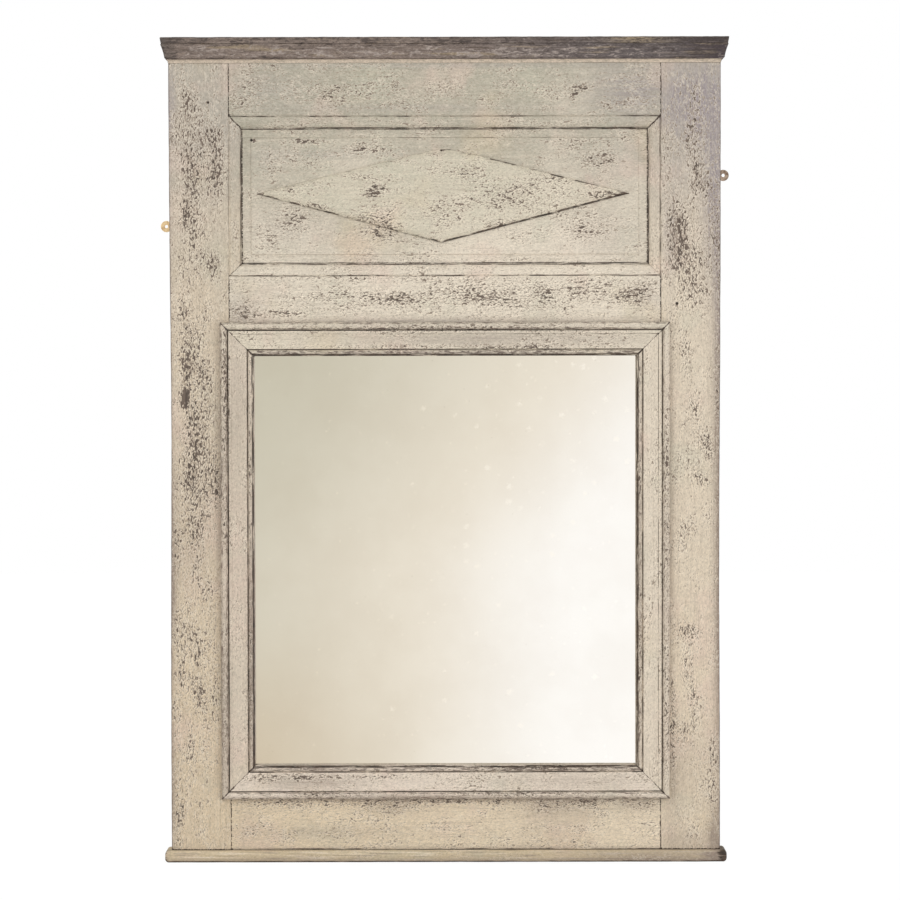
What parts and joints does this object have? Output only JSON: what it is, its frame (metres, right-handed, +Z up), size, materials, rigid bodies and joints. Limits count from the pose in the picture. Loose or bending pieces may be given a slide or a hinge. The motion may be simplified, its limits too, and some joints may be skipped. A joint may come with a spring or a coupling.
{
  "type": "painted overmantel mirror",
  "caption": "Tall painted wall mirror with a raised lozenge on the panel above, a planted moulding round the glass, a small cornice and a round-nosed foot.",
  "frame": {"origin": "bottom middle of the back, on the plane of the wall and at the underside of the nosing", "axes": "+Z up, +Y into the wall, +X to the right seen from the front, so the front faces -Y"},
  "size_m": [0.8544, 0.0443, 1.2354],
  "materials": {
    "frame_paint": "old cream-grey paint, rubbed, with fine dark crackle along the grain",
    "moulding_paint": "old cream paint, rubbed dark on the beads",
    "cornice_paint": "paint worn through to dark grey-brown wood",
    "bare_softwood": "bare softwood, darkened with age",
    "silvered_glass": "silvered glass with faint foxing",
    "plate_brass": "dull aged brass",
    "nail_iron": "dark, lightly rusted"
  },
  "bodies": {
    "root": {"left_stile": "frame_paint", "right_stile": "frame_paint", "top_rail": "frame_paint", "middle_rail": "frame_paint", "bottom_rail": "frame_paint", "upper_panel": "frame_paint", "lozenge": "moulding_paint", "moulding_top": "moulding_paint", "moulding_bottom": "moulding_paint", "moulding_left": "moulding_paint", "moulding_right": "moulding_paint", "cornice_front": "cornice_paint", "cornice_return_left": "cornice_paint", "cornice_return_right": "cornice_paint", "cornice_core": "bare_softwood", "cornice_top_board": "cornice_paint", "base_nosing": "frame_paint", "mirror_glass": "silvered_glass", "glass_blocks": "bare_softwood", "back_board_1": "bare_softwood", "back_board_2": "bare_softwood", "back_board_3": "bare_softwood", "back_board_4": "bare_softwood", "hanging_plate_left": "plate_brass", "hanging_plate_right": "plate_brass", "plate_screws": "plate_brass", "joint_pegs": "bare_softwood", "back_board_nails": "nail_iron", "moulding_pins": "nail_iron", "cornice_nails": "nail_iron", "nosing_nails": "nail_iron"}
  },
  "joints": []
}
